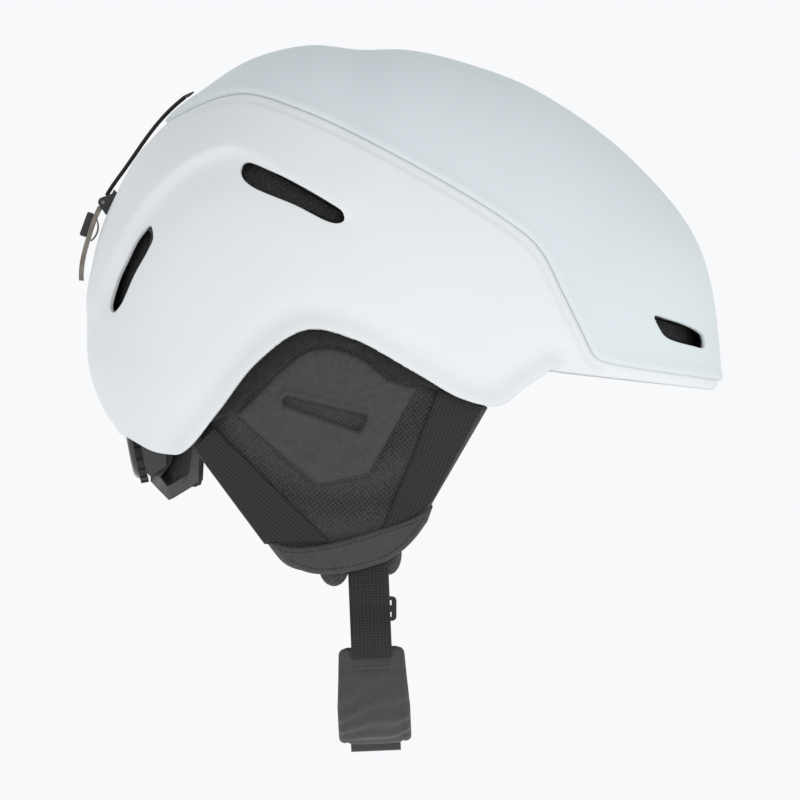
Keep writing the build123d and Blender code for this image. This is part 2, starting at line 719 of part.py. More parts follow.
# clip tab: two eyes on the pin and a curved plate that holds a goggle strap down
CLIP_LINE = [(-99.2, 90.6), (-101.2, 86.6), (-102.9, 82), (-105, 75.2), (-107, 67.3),
             (-107.6, 58)]
eye_bore = bar([(HINGE_X, HINGE_Z, PIN_R + RUN)], -FAR / 4, FAR / 4)
with BuildPart() as clip_tab:
    with BuildSketch(Plane.XZ):
        with BuildLine():
            ribbon(CLIP_LINE, 1.9)
        make_face()
    extrude(amount=CLIP_HALF, both=True)
    with BuildSketch(Plane.XZ):
        with Locations((HINGE_X, HINGE_Z)):
            Circle(EYE_R)
    extrude(amount=CLIP_HALF, both=True)
    with Locations((HINGE_X, 0, HINGE_Z)):
        Box(7.4, 2 * KNOT_HALF + 0.7, 7.4, mode=Mode.SUBTRACT)
    add(eye_bore, mode=Mode.SUBTRACT)
finish(clip_tab.part, "clip_tab")


with BuildPart() as clip_button:
    with BuildSketch(Plane.XZ):
        with Locations(Location((-105.2, 82.8), -20)):
            RectangleRounded(3, 11, 0.8)
    extrude(amount=CLIP_HALF - 1, both=True)
    add(clip_tab.part, mode=Mode.SUBTRACT)
finish(clip_button.part, "clip_button")

with BuildPart() as clip_spring:
    with BuildSketch(Plane.XZ):
        with BuildLine():
            outer = ThreePointArc((-101.3, 85.4), (-100.9, 79.8), (-103.6, 75.8))
            inner = ThreePointArc((-100.8, 85.4), (-100.3, 79.4), (-103.4, 75.2))
            Line(outer @ 0, inner @ 0)
            Line(outer @ 1, inner @ 1)
        make_face()
    extrude(amount=4, both=True)
    add(clip_tab.part, mode=Mode.SUBTRACT)
finish(clip_spring.part, "clip_spring")
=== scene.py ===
"""Looks of the ski helmet: white shells, soft ear pads, straps and fit system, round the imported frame."""

import math

import bpy
import numpy as np
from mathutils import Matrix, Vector


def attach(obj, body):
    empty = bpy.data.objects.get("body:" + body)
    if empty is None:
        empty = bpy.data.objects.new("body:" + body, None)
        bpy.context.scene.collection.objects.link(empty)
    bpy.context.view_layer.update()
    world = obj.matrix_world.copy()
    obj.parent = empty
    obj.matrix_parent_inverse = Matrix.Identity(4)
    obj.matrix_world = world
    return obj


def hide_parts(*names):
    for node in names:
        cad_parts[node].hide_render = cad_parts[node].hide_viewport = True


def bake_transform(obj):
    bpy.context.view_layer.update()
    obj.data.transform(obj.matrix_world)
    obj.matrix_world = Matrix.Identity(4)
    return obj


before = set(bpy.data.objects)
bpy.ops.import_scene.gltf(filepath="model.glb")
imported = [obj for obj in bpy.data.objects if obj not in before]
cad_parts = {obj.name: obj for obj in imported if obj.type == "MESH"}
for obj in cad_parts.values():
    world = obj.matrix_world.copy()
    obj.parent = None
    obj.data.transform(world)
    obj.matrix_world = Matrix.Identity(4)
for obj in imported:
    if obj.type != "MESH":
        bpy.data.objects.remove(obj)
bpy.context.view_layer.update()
MM = 0.001
RIGHT, LEFT = -1, 1

# ------------------------ curves and fields (millimetres)


class Curve1D:
    """Natural cubic spline through (key, value) pairs."""

    def __init__(self, table):
        self.x = np.array([a for a, _ in table], float)
        self.y = np.array([b for _, b in table], float)
        n = len(self.x)
        h = np.diff(self.x)
        m = np.eye(n)
        r = np.zeros(n)
        for k in range(1, n - 1):
            m[k, k - 1:k + 2] = h[k - 1], 2 * (h[k - 1] + h[k]), h[k]
            r[k] = 6 * ((self.y[k + 1] - self.y[k]) / h[k] - (self.y[k] - self.y[k - 1]) / h[k - 1])
        self.m = np.linalg.solve(m, r)

    def __call__(self, at):
        at = np.asarray(at, float)
        i = np.clip(np.searchsorted(self.x, at) - 1, 0, len(self.x) - 2)
        h = self.x[i + 1] - self.x[i]
        a = (self.x[i + 1] - at) / h
        b = (at - self.x[i]) / h
        bend = ((a**3 - a) * self.m[i] + (b**3 - b) * self.m[i + 1]) * h * h / 6
        return a * self.y[i] + b * self.y[i + 1] + bend


def smooth_line(points, count=14, closed=False):
    """Centripetal Catmull-Rom curve through 2D or 3D points."""
    p = np.array(points, float)
    if closed:
        p = np.vstack([p[-1], p, p[0], p[1]])
    else:
        p = np.vstack([2 * p[0] - p[1], p, 2 * p[-1] - p[-2]])
    out = []
    for k in range(1, len(p) - 2):
        t = [0.0]
        for j in range(3):
            t.append(t[-1] + max(np.linalg.norm(p[k + j] - p[k + j - 1]), 1e-6) ** 0.5)
        u = np.linspace(t[1], t[2], count, endpoint=False)[:, None]
        a1 = (t[1] - u) / (t[1] - t[0]) * p[k - 1] + (u - t[0]) / (t[1] - t[0]) * p[k]
        a2 = (t[2] - u) / (t[2] - t[1]) * p[k] + (u - t[1]) / (t[2] - t[1]) * p[k + 1]
        a3 = (t[3] - u) / (t[3] - t[2]) * p[k + 1] + (u - t[2]) / (t[3] - t[2]) * p[k + 2]
        b1 = (t[2] - u) / (t[2] - t[0]) * a1 + (u - t[0]) / (t[2] - t[0]) * a2
        b2 = (t[3] - u) / (t[3] - t[1]) * a2 + (u - t[1]) / (t[3] - t[1]) * a3
        out.append((t[2] - u) / (t[2] - t[1]) * b1 + (u - t[1]) / (t[2] - t[1]) * b2)
    out = np.vstack(out)
    return out if closed else np.vstack([out, p[-2]])


def to_line(q, line):
    """Distance of points q to a polyline, its side (+ on the left) and how far along (0 to 1)."""
    a, b = line[:-1], line[1:]
    d = b - a
    size = np.hypot(*d.T)
    start = np.concatenate([[0], np.cumsum(size)])
    best = np.full(len(q), 1e9)
    side = np.zeros(len(q))
    along = np.zeros(len(q))
    for k in range(len(a)):
        if size[k] < 1e-9:
            continue
        v = q - a[k]
        t = np.clip(v @ d[k] / size[k]**2, 0, 1)
        off = v - t[:, None] * d[k]
        dist = np.hypot(off[:, 0], off[:, 1])
        closer = dist < best - 1e-9
        cross = d[k, 0] * v[:, 1] - d[k, 1] * v[:, 0]
        side = np.where(closer, np.sign(cross), side)
        along = np.where(closer, (start[k] + t * size[k]) / start[-1], along)
        best = np.where(closer, dist, best)
    return best, side, along


def inside(q, poly):
    """Distance of points q to the outline of a polygon, positive inside it."""
    loop = np.vstack([poly, poly[:1]])
    dist, _, _ = to_line(q, loop)
    odd = np.zeros(len(q), bool)
    for (x0, y0), (x1, y1) in zip(loop[:-1], loop[1:]):
        if y0 == y1:
            continue
        cross = (y0 > q[:, 1]) != (y1 > q[:, 1])
        at = x0 + (q[:, 1] - y0) * (x1 - x0) / (y1 - y0)
        odd ^= cross & (q[:, 0] < at)
    return np.where(odd, dist, -dist)


def round_hull(circles, count=20):
    """Outline of the hull of circles (x, z, radius)."""
    pts = []
    for x, z, r in circles:
        for k in range(count):
            a = 2 * math.pi * k / count
            pts.append((x + r * math.cos(a), z + r * math.sin(a)))
    pts = sorted(set((round(x, 6), round(z, 6)) for x, z in pts))

    def half(seq):
        chain = []
        for p in seq:
            while len(chain) > 1 and ((chain[-1][0] - chain[-2][0]) * (p[1] - chain[-2][1])
                                      <= (chain[-1][1] - chain[-2][1]) * (p[0] - chain[-2][0])):
                chain.pop()
            chain.append(p)
        return chain[:-1]

    return np.array(half(pts) + half(pts[::-1]))


def ease(t):
    """Smooth step from 0 to 1."""
    t = np.clip(t, 0, 1)
    return t * t * (3 - 2 * t)


# ------------------------ mesh helpers


def clip(params, faces, value_of):
    """Keeps the part of a mesh over 2D parameters where a field is positive.

    Faces that cross the zero line are cut exactly along it."""
    value = value_of(params)
    keep, cut = [], []
    flags = value >= 0
    for f in faces:
        n = sum(flags[i] for i in f)
        if n == len(f):
            keep.append(f)
        elif n:
            cut.append(f)
    edges = {}
    ends = []
    for f in cut:
        for a, b in zip(f, f[1:] + f[:1]):
            if flags[a] != flags[b]:
                key = (min(a, b), max(a, b))
                if key not in edges:
                    edges[key] = len(params) + len(ends)
                    ends.append(key)
    if ends:
        i, j = np.array(ends).T
        lo, hi = params[i].copy(), params[j].copy()
        vlo, vhi = value[i].copy(), value[j].copy()
        for _ in range(6):
            s = np.clip(vlo / (vlo - vhi), 0.02, 0.98)[:, None]
            mid = lo + (hi - lo) * s
            vm = value_of(mid)
            same = (vm >= 0) == (vlo >= 0)
            lo, vlo = np.where(same[:, None], mid, lo), np.where(same, vm, vlo)
            hi, vhi = np.where(same[:, None], hi, mid), np.where(same, vhi, vm)
        s = (vlo / (vlo - vhi))[:, None]
        params = np.vstack([params, lo + (hi - lo) * s])
    for f in cut:
        new = []
        for a, b in zip(f, f[1:] + f[:1]):
            if flags[a]:
                new.append(a)
            if flags[a] != flags[b]:
                new.append(edges[(min(a, b), max(a, b))])
        if len(new) > 2:
            keep.append(tuple(new))
    used = np.unique(np.array([i for f in keep for i in f]))
    remap = np.full(len(params), -1)
    remap[used] = np.arange(len(used))
    return params[used], [tuple(int(remap[i]) for i in f) for f in keep]


def grid(u, v):
    """Parameters and quads of a grid."""
    uu, vv = np.meshgrid(u, v, indexing="ij")
    params = np.column_stack([uu.ravel(), vv.ravel()])
    n = len(v)
    faces = [(i * n + j, i * n + j + 1, (i + 1) * n + j + 1, (i + 1) * n + j)
             for i in range(len(u) - 1) for j in range(len(v) - 1)]
    return params, faces


def ring_faces(rings, around, first=0):
    """Quads between the rings of points of a closed sweep, with a cap at each end."""
    faces = []
    for k in range(rings - 1):
        b = first + k * around
        for s in range(around):
            s2 = (s + 1) % around
            faces.append((b + s, b + s2, b + around + s2, b + around + s))
    last = first + (rings - 1) * around
    faces.append(tuple(first + s for s in range(around))[::-1])
    faces.append(tuple(last + s for s in range(around)))
    return faces


def mesh_object(name, points, faces, material, uv=None):
    """A mesh from points in millimetres."""
    mesh = bpy.data.meshes.new(name)
    mesh.from_pydata((np.asarray(points) * MM).tolist(), [], faces)
    if uv is not None:
        layer = mesh.uv_layers.new(name="UVMap")
        index = np.empty(len(mesh.loops), int)
        mesh.loops.foreach_get("vertex_index", index)
        layer.data.foreach_set("uv", np.asarray(uv, float)[index].ravel())
    mesh.validate()
    for p in mesh.polygons:
        p.use_smooth = True
    obj = bpy.data.objects.new(name, mesh)
    bpy.context.scene.collection.objects.link(obj)
    mesh.materials.append(material)
    return obj


def apply_modifiers(obj):
    """Bakes an object's modifiers into its mesh."""
    bpy.context.view_layer.update()
    dg = bpy.context.evaluated_depsgraph_get()
    mesh = bpy.data.meshes.new_from_object(obj.evaluated_get(dg))
    obj.modifiers.clear()
    old = obj.data
    obj.data = mesh
    mesh.name = obj.name
    bpy.data.meshes.remove(old)
    return obj


# ------------------------ materials


class Nodes:
    """Small helper for node materials in object space (metres)."""

    def __init__(self, name):
        self.mat = bpy.data.materials.new(name)
        self.mat.use_nodes = True
        self.tree = self.mat.node_tree
        self.shader = self.tree.nodes["Principled BSDF"]
        self.place = self.tree.nodes.new("ShaderNodeTexCoord")

    def new(self, kind, links=None, **props):
        node = self.tree.nodes.new(kind)
        for key, value in props.items():
            setattr(node, key, value)
        for key, value in (links or {}).items():
            socket = node.inputs[key]
            if isinstance(value, bpy.types.NodeSocket):
                self.tree.links.new(value, socket)
            else:
                socket.default_value = value
        return node

    def set(self, **values):
        for key, value in values.items():
            socket = self.shader.inputs[key.replace("_", " ")]
            if isinstance(value, bpy.types.NodeSocket):
                self.tree.links.new(value, socket)
            else:
                socket.default_value = value

    def coords(self, scale=(1, 1, 1), space="Object", turn=(0, 0, 0)):
        return self.new("ShaderNodeMapping", {"Vector": self.place.outputs[space], "Scale": scale,
                                              "Rotation": turn}).outputs[0]

    def noise(self, scale, detail=2.0, rough=0.5, vector=None):
        vector = vector or self.place.outputs["Object"]
        return self.new("ShaderNodeTexNoise", {"Vector": vector, "Scale": scale, "Detail": detail,
                                               "Roughness": rough}).outputs[0]

    def voronoi(self, scale, vector=None, feature="F1", rand=1.0):
        vector = vector or self.place.outputs["Object"]
        return self.new("ShaderNodeTexVoronoi", {"Vector": vector, "Scale": scale,
                                                 "Randomness": rand}, feature=feature).outputs[0]

    def wave(self, scale, vector, direction):
        return self.new("ShaderNodeTexWave", {"Vector": vector, "Scale": scale, "Detail": 1.0},
                        bands_direction=direction, wave_profile="SIN").outputs[1]

    def ramp(self, value, *stops):
        node = self.new("ShaderNodeValToRGB", {"Fac": value})
        ramp = node.color_ramp
        while len(ramp.elements) < len(stops):
            ramp.elements.new(0.5)
        for element, (at, colour) in zip(ramp.elements, stops):
            element.position = at
            element.color = (*colour, 1) if len(colour) == 3 else colour
        return node.outputs[0]

    def math(self, op, a, b=0.0):
        node = self.tree.nodes.new("ShaderNodeMath")
        node.operation = op
        for socket, value in zip(node.inputs, (a, b)):
            if isinstance(value, bpy.types.NodeSocket):
                self.tree.links.new(value, socket)
            else:
                socket.default_value = value
        return node.outputs[0]

    def bump(self, height, depth, strength=1.0, under=None):
        links = {"Height": height, "Distance": depth, "Strength": strength}
        if under is not None:
            links["Normal"] = under
        return self.new("ShaderNodeBump", links).outputs[0]

    def rounded(self, radius):
        return self.new("ShaderNodeBevel", {"Radius": radius}, samples=4).outputs[0]


def grey(value, tint=0.0):
    """A grey, bluer with a positive tint."""
    return (value * (1 - tint), value, value * (1 + tint))


def shell_material(name, dim, bright):
    """Matte white lacquer: a fine satin grain, faint cloudiness, softened edges."""
    n = Nodes(name)
    cloud = n.noise(9, 3, 0.5)
    colour = n.ramp(cloud, (0.3, dim), (0.7, bright))
    grain = n.noise(2600, 2, 0.6)
    rough = n.ramp(n.noise(400, 3), (0.3, (0.47,) * 3), (0.7, (0.55,) * 3))
    n.set(Base_Color=colour, Roughness=rough,
          Normal=n.bump(grain, 0.00004, 0.35, n.rounded(0.0009)))
    n.set(Specular_IOR_Level=0.42)
    return n.mat


def plastic_material(name, base, rough, grain=0.00006, radius=0.0005, coat=0.0):
    """Moulded plastic: spark-eroded grain, slightly uneven gloss, softened edges."""
    n = Nodes(name)
    colour = n.ramp(n.noise(60, 3), (0.3, grey(base * 0.85)), (0.7, grey(base * 1.15)))
    uneven = n.ramp(n.noise(180, 3), (0.3, (rough * 0.85,) * 3), (0.7, (min(rough * 1.2, 1),) * 3))
    n.set(Base_Color=colour, Roughness=uneven,
          Normal=n.bump(n.noise(2200, 2), grain, 0.5, n.rounded(radius)))
    if coat:
        n.set(Coat_Weight=coat, Coat_Roughness=0.08)
    return n.mat


def foam_material(name, base, cell=330):
    """Expanded foam: round beads with dark joints."""
    n = Nodes(name)
    beads = n.voronoi(cell, rand=0.9)
    colour = n.ramp(beads, (0.25, grey(base * 1.25)), (0.75, grey(base * 0.55)))
    high = n.math("SUBTRACT", 1.0, beads)
    n.set(Base_Color=colour, Roughness=0.85, Normal=n.bump(high, 0.0005, 0.8))
    return n.mat


def open_foam_material(name):
    """Reticulated foam filter: black open cells, with painted shade deepening towards each cell's middle.
    """
    n = Nodes(name)
    cells = n.voronoi(900, feature="DISTANCE_TO_EDGE")
    # painted shade: the strands at the cell edges are lightest and the open middles near black
    colour = n.ramp(cells, (0.0, grey(0.05)), (0.12, grey(0.028)), (0.4, grey(0.006)))
    n.set(Base_Color=colour, Roughness=0.9, Normal=n.bump(cells, -0.0008, 1.0))
    return n.mat


def knit_material(name, base, tint=0.0, scale=1500, lift=0.00012, sheen=0.35, mottle=0.25):
    """Brushed knit: fine loops with painted shade between them, soft mottling, a little sheen."""
    n = Nodes(name)
    loops = n.voronoi(scale, rand=0.55)
    fibre = n.noise(5200, 2, 0.7)
    mottled = n.noise(260, 4, 0.65)
    colour = n.ramp(mottled, (0.3, grey(base * (1 - mottle), tint)),
                    (0.7, grey(base * (1 + mottle), tint)))
    # painted shade: the colour darkens away from each loop's middle, into the gaps between loops
    painted_loop_shade = n.ramp(loops, (0.1, (1.0,) * 3), (0.8, (0.6,) * 3))
    colour_with_painted_shade = n.new("ShaderNodeMix", {0: 1.0, 6: colour, 7: painted_loop_shade}, data_type="RGBA",
                  blend_type="MULTIPLY").outputs[2]
    height = n.math("ADD", n.math("MULTIPLY", n.math("SUBTRACT", 1.0, loops), 0.7),
                    n.math("MULTIPLY", fibre, 0.3))
    n.set(Base_Color=colour_with_painted_shade, Roughness=0.86, Normal=n.bump(height, lift, 0.8))
    n.set(Sheen_Weight=sheen, Sheen_Roughness=0.45)
    return n.mat


def coarse_mesh_material(name, base):
    """Spacer mesh: rows of small open holes in a rough knit, with painted shade in the holes and painted
    highlights on the strands between them.
    """
    n = Nodes(name)
    place = n.coords((1, 0.35, 1), turn=(0, math.radians(38), 0))
    holes = n.voronoi(640, place, rand=0.25)
    fuzz = n.noise(3600, 3, 0.7)
    # painted shade in the holes and painted highlights on the strands: the colour follows the holes field
    # that also sets the height
    colour = n.ramp(holes, (0.12, grey(base * 0.2)), (0.4, grey(base * 1.1)), (0.8, grey(base * 2.1)))
    height = n.math("ADD", holes, n.math("MULTIPLY", fuzz, 0.5))
    n.set(Base_Color=colour, Roughness=0.92, Normal=n.bump(height, 0.0006, 0.9))
    n.set(Sheen_Weight=0.1, Sheen_Roughness=0.5)
    return n.mat


def webbing_material(name, base):
    """Flat woven webbing: ribs across and along it, with painted shade in the valleys and painted
    highlights on the ribs. Uses UV in millimetres.
    """
    n = Nodes(name)
    flat = n.coords((1, 1, 1), "UV")
    rib = n.wave(0.26, flat, direction="Y")
    warp = n.wave(0.2, flat, direction="X")
    height = n.math("ADD", n.math("MULTIPLY", rib, 0.5), n.math("MULTIPLY", warp, 0.5))
    fibre = n.noise(2600, 2, 0.7)
    total = n.math("ADD", height, n.math("MULTIPLY", fibre, 0.3))
    # painted shade and highlight: the colour follows the weave's height, dark in the valleys and light on
    # the ribs
    colour = n.ramp(total, (0.25, grey(base * 0.3)), (1.0, grey(base * 2.6)))
    n.set(Base_Color=colour, Roughness=0.74, Normal=n.bump(total, 0.00028, 0.9))
    n.set(Sheen_Weight=0.08, Sheen_Roughness=0.4)
    return n.mat


def metal_material(name):
    """Spring steel with a fine brushed grain."""
    n = Nodes(name)
    streak = n.noise(300, 3, 0.6, n.coords((1, 14, 1)))
    colour = n.ramp(streak, (0.3, (0.17, 0.15, 0.135)), (0.7, (0.27, 0.24, 0.21)))
    rough = n.ramp(streak, (0.3, (0.3,) * 3), (0.7, (0.44,) * 3))
    n.set(Base_Color=colour, Roughness=rough, Metallic=1.0,
          Normal=n.bump(streak, 0.00003, 0.5, n.rounded(0.0003)))
    return n.mat


# the crown's copy of the white lacquer is painted greyer and cooler than the body's: painted shade for the
# dimmer, bluer light from above
SHADED_CROWN_WHITE = shell_material("white_lacquer_painted_crown_shade", (0.72, 0.775, 0.79), (0.745, 0.80, 0.815))
WHITE = shell_material("white_lacquer", (0.80, 0.812, 0.82), (0.83, 0.842, 0.85))
FOAM = foam_material("liner_foam", 0.03)
SLIP = plastic_material("slip_sheet", 0.035, 0.4)
SCREEN = open_foam_material("vent_foam")
KNIT = knit_material("pad_knit", 0.05, 0.02, sheen=0.1)
PANEL = knit_material("panel_knit", 0.066, 0.02, scale=2100, lift=0.00006, sheen=0.1, mottle=0.1)
BINDING = knit_material("binding_fuzz", 0.02, 0.0, scale=900, lift=0.0005, sheen=0.15, mottle=0.5)
MESH = coarse_mesh_material("spacer_mesh", 0.026)
WEB = webbing_material("black_webbing", 0.0085)
THREAD = plastic_material("thread", 0.03, 0.7, 0.0001)
BLACK = plastic_material("moulded_black", 0.018, 0.42)
GLOSS = plastic_material("gloss_black", 0.012, 0.14, 0.00001, coat=0.6)
GRIP = plastic_material("grip_rubber", 0.02, 0.6, 0.0001)
STEEL = metal_material("spring_steel")
ELASTIC = knit_material("elastic_braid", 0.012, scale=2600, lift=0.00008, sheen=0.05)

PAINT = {
    "foam_liner": FOAM, "slip_liner": SLIP, "nape_cradle": BLACK, "dial_housing": GLOSS,
    "dial_knob": GLOSS, "dial_grip": GRIP, "right_band": BLACK, "left_band": BLACK,
    "right_temple_pin": BLACK, "left_temple_pin": BLACK, "keeper": BLACK, "clip_button": BLACK,
    "cord_anchor": BLACK, "clip_tab": STEEL, "clip_spring": STEEL, "hinge_pin": STEEL,
    "cord_knot": ELASTIC, "retainer_cord": ELASTIC, "buckle_female": GLOSS, "buckle_male": GLOSS,
    "strap_adjuster": BLACK,
}
for node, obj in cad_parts.items():
    paint = SCREEN if node.endswith("_screen") else PAINT.get(node, KNIT)
    obj.data.materials.clear()
    obj.data.materials.append(paint)

# ------------------------ shells
# crown line of the shell in the middle plane: (fan angle, radius)
CROWN = Curve1D([(-14, 173.2), (0, 174.2), (7, 174.9), (13, 176.4), (19, 178.6), (25, 179.5), (30, 178.2),
                 (36, 175.6), (42, 173.4), (48, 171.2), (54, 169.4), (60, 167.7), (66, 165.6),
                 (72, 164.1), (78.7, 162.2), (84.5, 159.6), (91, 160.9), (97, 160), (103, 157.3),
                 (110, 151.6), (116, 147.6), (122, 143.8), (128, 138.4), (134, 132.6),
                 (141, 126.6), (148, 120.2), (155, 115.2), (162, 110.4), (168, 107), (174, 102.4),
                 (180, 97), (187, 91), (200, 84), (222, 80)])
# half width of the shell at each fan angle, and how square its arches are
WIDTH = Curve1D([(-14, 98), (30, 101), (90, 105), (150, 106), (222, 102)])
FULLNESS = 2.35
# side-view lines (x, z) of the edges, the seam, the vents and the soft step
EAR_EDGE = [(-60, -16.5), (-46, -0.2), (-28.6, 21.8), (-8, 35.6), (12, 32), (40, 17),
            (60, 5.8), (76, 3), (87, 11), (98, 18.2)]
NAPE_EDGE = [(-130, 9), (-104, -2), (-86, -11.5), (-71, -18.5)]
SEAM = [(-100, 106), (-68, 129), (-38, 139.2), (-11, 131.8), (33, 110.4), (77, 84.5),
        (93, 71.5), (104, 51), (117, 24.5)]
SIDE_VENT = smooth_line([(-35, 109.3), (-36.8, 106.6), (-36.2, 103.2), (-32.4, 99), (-13, 90.6),
                         (4.8, 82.3), (8.6, 83.4), (8.2, 86.6), (2, 90.9), (-21.9, 104.3)],
                        6, closed=True)
REAR_VENT = smooth_line([(-77, 82), (-75.4, 76.3), (-77, 72), (-83.6, 60.3), (-90.4, 46),
                         (-93, 43.6), (-94.8, 46.4), (-92.4, 56.3), (-88, 66), (-81.8, 77.5)],
                        6, closed=True)
FRONT_VENT = smooth_line([(143.4, 42), (150, 40.5), (156.8, 38.3), (163, 35.4), (165.4, 33),
                          (165.4, 28.2), (160, 29), (151.2, 31.4), (148, 33.2), (145.2, 37.4)],
                         5, closed=True)
BRIM_LINE = np.array([(92, 15.5), (99, 18.6), (106.6, 20), (140, 16.2), (172, 12), (192, 9.6)])
BRIM_START = 96
STEP_LINE = [(18.5, 82), (8.4, 86.5), (-15, 100.4), (-29.9, 109.6), (-40, 114), (-59.4, 107),
             (-79.2, 87.5), (-95.9, 55.9), (-101, 40)]

lower_edge = np.vstack([smooth_line(NAPE_EDGE + EAR_EDGE, 10), [(190, 8)]])
ear_line = smooth_line(EAR_EDGE, 12)
seam_line = np.vstack([smooth_line(SEAM, 14), smooth_line([(117, 24.5), (121, 22), (190, 11.5)], 8)[1:]])
step_line = smooth_line(STEP_LINE, 12)


def side_point(params):
    """Side view (x, z) of surface parameters (fan angle, arch angle), and the distance |y|."""
    a = np.radians(params[:, 0])
    t = np.radians(params[:, 1])
    power = 2 / FULLNESS
    rho = CROWN(params[:, 0]) * np.cos(t) ** power
    y = WIDTH(params[:, 0]) * np.abs(np.sin(t)) ** power * np.sign(t)
    return np.column_stack([rho * np.cos(a), rho * np.sin(a)]), y


def surface(params):
    """Points of the plain shell surface."""
    q, y = side_point(params)
    return np.column_stack([q[:, 0], y, q[:, 1]])


def surface_normal(params):
    """Outward unit normals of the plain shell surface."""
    e = 0.02
    du = surface(params + (e, 0)) - surface(params - (e, 0))
    dv = surface(params + (0, e)) - surface(params - (0, e))
    n = np.cross(dv, du)
    n /= np.linalg.norm(n, axis=1)[:, None] + 1e-12
    outward = surface(params)
    n *= np.sign(np.sum(n * outward, axis=1))[:, None]
    return n


def above_lower_edge(params):
    q, _ = side_point(params)
    dist, side, _ = to_line(q, lower_edge)
    return dist * side


def below_seam(gap):
    def value(params):
        q, _ = side_point(params)
        dist, side, _ = to_line(q, seam_line)
        return -dist * side - gap
    return value


def above_seam(gap):
    def value(params):
        q, _ = side_point(params)
        dist, side, _ = to_line(q, seam_line)
        return dist * side - gap
    return value


def outside_of(poly):
    def value(params):
        q, _ = side_point(params)
        return -inside(q, poly)
    return value


# the soft step above the side vent, and the rolled edge round the ear
RIDGE_HIGH, RIDGE_WIDE = 1.7, 13
HOLLOW_DEEP, HOLLOW_WIDE = 1.3, 9
ROLL_HIGH, ROLL_WIDE = 2.3, 8


def relief(q):
    """Height of the soft features of the shell above its plain surface."""
    dist, side, along = to_line(q, step_line)
    sd = dist * side * -1          # the line runs rearwards, so its left is below
    fade = ease(along / 0.12) * ease((1 - along) / 0.1 + 0.2)
    ridge = RIDGE_HIGH * np.exp(-(np.clip(sd, 0, None) / RIDGE_WIDE) ** 2) * ease(sd / 4 + 0.5)
    hollow = -HOLLOW_DEEP * np.exp(-((-sd - 5) / HOLLOW_WIDE) ** 2) * ease(-sd / 6 + 0.4)
    h = fade * (ridge + hollow)
    dist, _, _ = to_line(q, ear_line)
    rolled = ROLL_HIGH * ease(1 - dist / ROLL_WIDE) - 0.7 * np.exp(-((dist - 11) / 4) ** 2)
    return h + rolled


STEP_DEG = 0.42
arches = np.linspace(-86, 86, int(172 / STEP_DEG) + 1)


# the notch at the nape that the dial stands in
NOTCH_HALF, NOTCH_TOP, NOTCH_FRONT, NOTCH_CLEAR = 21, -3, -40, 9.0


def off_notch(params):
    """Distance outside the nape notch, for points at the back of the shell."""
    q, y = side_point(params)
    corner = np.maximum(np.abs(y) - NOTCH_HALF, q[:, 1] - NOTCH_TOP)
    return np.where(q[:, 0] < NOTCH_FRONT, corner, NOTCH_CLEAR)


def shell(name, thetas, clips, height, thick, node, paint):
    """One moulded shell: the clipped surface, raised by its relief, with a wall thickness."""
    params, faces = grid(thetas, arches)
    for value in clips:
        params, faces = clip(params, faces, value)
    q, _ = side_point(params)
    points = surface(params) + surface_normal(params) * height(q)[:, None]
    obj = mesh_object(name, points, faces, paint)
    mod = obj.modifiers.new("wall", "SOLIDIFY")
    mod.thickness = thick * MM
    mod.offset = -1
    apply_modifiers(obj)
    obj.data.set_sharp_from_angle(angle=math.radians(38))
    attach(obj, "shell")
    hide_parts(node)


def upper_height(q):
    """The crown stands proud of the seam, with a soft lip whose edge rolls in."""
    dist, _, _ = to_line(q, seam_line)
    return 1.0 + 0.55 * np.exp(-((dist - 2.2) / 2.4) ** 2) - 0.5 * ease(1 - dist / 1.2)


def lower_height(q):
    """Relief of the body, with a channel under the crown's edge and a tuck under the brim."""
    dist, side, _ = to_line(q, seam_line)
    below = -dist * side
    channel = -0.75 * ease((4.4 - below) / 1.8)
    dist, side, _ = to_line(q, BRIM_LINE)
    under = np.where((side < 0) & (q[:, 0] > BRIM_START), dist, 0)
    tuck = -1.3 * np.minimum(under, 4.5) * ease((q[:, 0] - BRIM_START - 1) / 12)
    return relief(q) * ease((below + 1) / 3) * ease(1 - under) + channel + tuck


# the crown shell wears the white lacquer with painted shade
shell("crown_shell", np.arange(0, 136, STEP_DEG), [above_seam(0.15), outside_of(FRONT_VENT)],
      upper_height, 1.5, "upper_shell", SHADED_CROWN_WHITE)
shell("body_shell", np.arange(-10, 200.01, STEP_DEG),
      [above_lower_edge, below_seam(-3), outside_of(SIDE_VENT), outside_of(REAR_VENT), off_notch],
      lower_height, 1.6, "lower_shell", WHITE)

# ------------------------ ear pads
# the pad's outer and inner faces: (distance from the middle, height); both bulge like a barrel
EAR_OUTER = [(98.5, 42), (95.5, 0), (81, -72)]
EAR_INNER = [(83, 42), (78.5, 0), (63, -72)]
EAR_BARREL, EAR_MIDDLE_X = 270, 8


def arc_through(points):
    """Distance as a function of height on the circle through three (distance, height) points."""
    (x1, y1), (x2, y2), (x3, y3) = points
    d = 2 * (x1 * (y2 - y3) + x2 * (y3 - y1) + x3 * (y1 - y2))
    s1, s2, s3 = x1**2 + y1**2, x2**2 + y2**2, x3**2 + y3**2
    cx = (s1 * (y2 - y3) + s2 * (y3 - y1) + s3 * (y1 - y2)) / d
    cy = (s1 * (x3 - x2) + s2 * (x1 - x3) + s3 * (x2 - x1)) / d
    r = math.hypot(x1 - cx, y1 - cy)
    return lambda z: cx + np.sqrt(r * r - (z - cy) ** 2)


ear_out_arc, ear_in_arc = arc_through(EAR_OUTER), arc_through(EAR_INNER)
HUB = EAR_BARREL - EAR_OUTER[0][0]


def ear_face(q, arc=ear_out_arc, off=0.0):
    """Distance from the middle plane of the pad's barrel face at side-view points."""
    return np.sqrt((arc(q[:, 1]) + off + HUB) ** 2 - (q[:, 0] - EAR_MIDDLE_X) ** 2) - HUB


